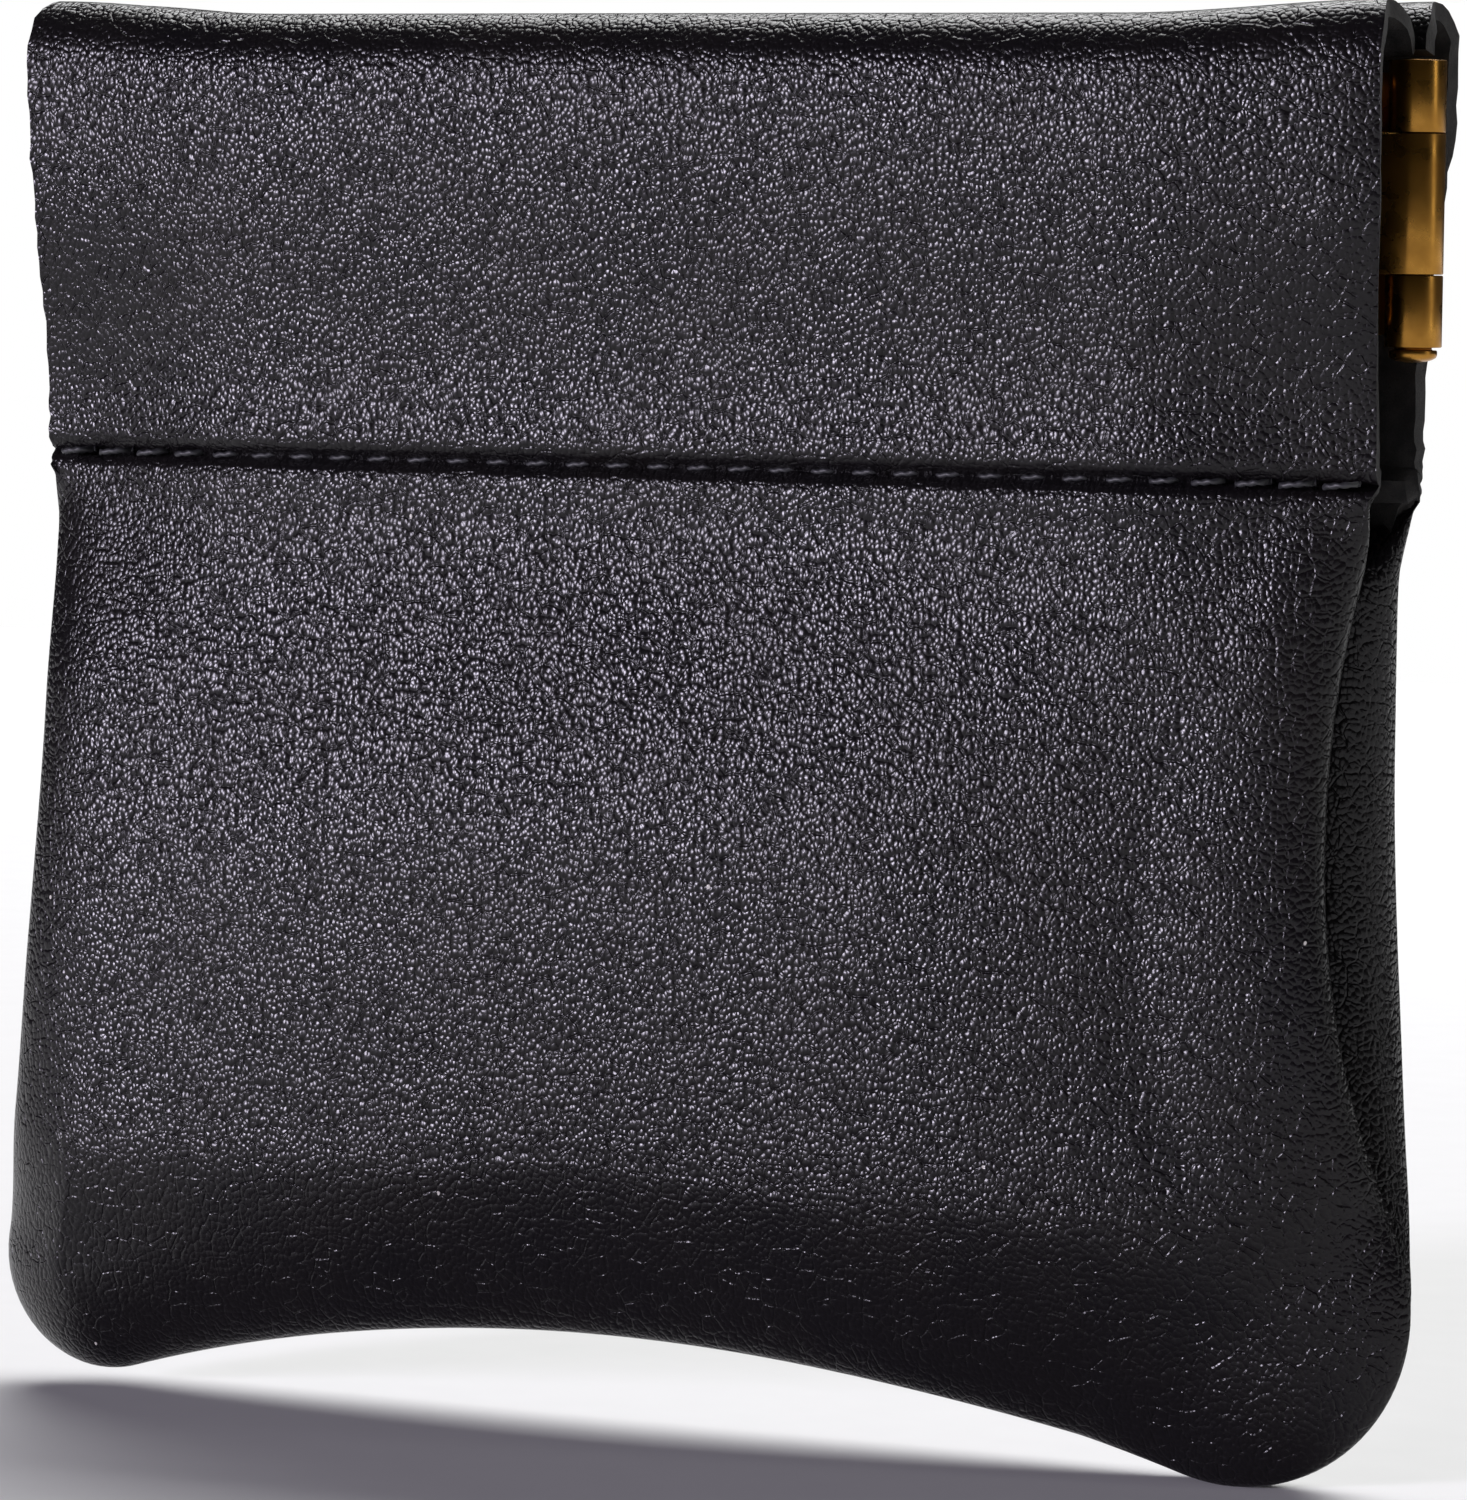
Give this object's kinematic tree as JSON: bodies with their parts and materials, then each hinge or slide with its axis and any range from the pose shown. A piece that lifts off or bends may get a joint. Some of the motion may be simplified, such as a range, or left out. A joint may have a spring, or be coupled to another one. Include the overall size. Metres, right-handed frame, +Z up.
{
  "type": "squeeze coin purse",
  "caption": "Soft leather-look squeeze pouch with a sprung hinged frame folded into its top, which opens when its ends are pressed and snaps shut.",
  "frame": {"origin": "on the standing surface, under the middle of the closed purse", "axes": "+X along the mouth to the purse's right as seen from its front, +Y from front to back, +Z up to the mouth"},
  "size_m": [0.0906, 0.0134, 0.084],
  "materials": {
    "leather": "black pebble-grain coated leather",
    "frame_metal": "satin brass-plated spring steel",
    "thread": "twisted dark grey sewing thread"
  },
  "bodies": {
    "pouch_seam": {"perimeter_front_thread": "thread", "perimeter_back_thread": "thread"},
    "front_side": {"front_panel": "leather", "front_channel_outer_thread": "thread", "front_channel_inner_thread": "thread"},
    "back_side": {"back_panel": "leather", "back_channel_outer_thread": "thread", "back_channel_inner_thread": "thread"},
    "right_hinge": {"right_hinge_pin": "frame_metal"},
    "front_right": {"front_strip_right": "frame_metal"},
    "front_left": {"front_strip_left": "frame_metal"},
    "back_right": {"back_strip_right": "frame_metal"},
    "back_left": {"back_strip_left": "frame_metal", "left_hinge_pin": "frame_metal"}
  },
  "joints": [
    {"name": "squeeze", "type": "hinge", "parent": "right_hinge", "child": "front_right", "pos_m": [0.043, 0, 0.0726], "axis": [0, 0, 1], "range_deg": [0, 22], "stiffness_Nm_per_rad": 0.02, "springref_deg": -14.32, "deforming": ["front_panel", "back_panel", "front_channel_outer_thread", "front_channel_inner_thread", "back_channel_outer_thread", "back_channel_inner_thread"]},
    {"name": "front_strip_bow", "type": "hinge", "parent": "front_right", "child": "front_left", "pos_m": [0, -0.0011, 0.0726], "axis": [0, 0, -1], "range_deg": [0, 44]},
    {"name": "back_hinge", "type": "hinge", "parent": "right_hinge", "child": "back_right", "pos_m": [0.043, 0, 0.0726], "axis": [0, 0, -1], "range_deg": [0, 22]},
    {"name": "back_strip_bow", "type": "hinge", "parent": "back_right", "child": "back_left", "pos_m": [0, 0.0011, 0.0726], "axis": [0, 0, 1], "range_deg": [0, 44]},
    {"name": "right_end_squeeze", "type": "slide", "parent": "pouch_seam", "child": "right_hinge", "axis": [-1, 0, 0], "range_m": [0, 0.00354]},
    {"name": "front_tilt", "type": "hinge", "parent": "pouch_seam", "child": "front_side", "pos_m": [0, 0, 0.004], "axis": [1, 0, 0], "range_deg": [0, 13.15]},
    {"name": "back_tilt", "type": "hinge", "parent": "pouch_seam", "child": "back_side", "pos_m": [0, 0, 0.004], "axis": [-1, 0, 0], "range_deg": [0, 13.15]}
  ],
  "couplings": [
    {"joint": "front_strip_bow", "follows": "squeeze", "ratio": 2},
    {"joint": "back_hinge", "follows": "squeeze", "ratio": 1},
    {"joint": "back_strip_bow", "follows": "squeeze", "ratio": 2},
    {"joint": "right_end_squeeze", "follows": "squeeze", "m_per_rad": 0.0092276},
    {"joint": "front_tilt", "follows": "squeeze", "ratio": 0.59777},
    {"joint": "back_tilt", "follows": "squeeze", "ratio": 0.59777}
  ]
}
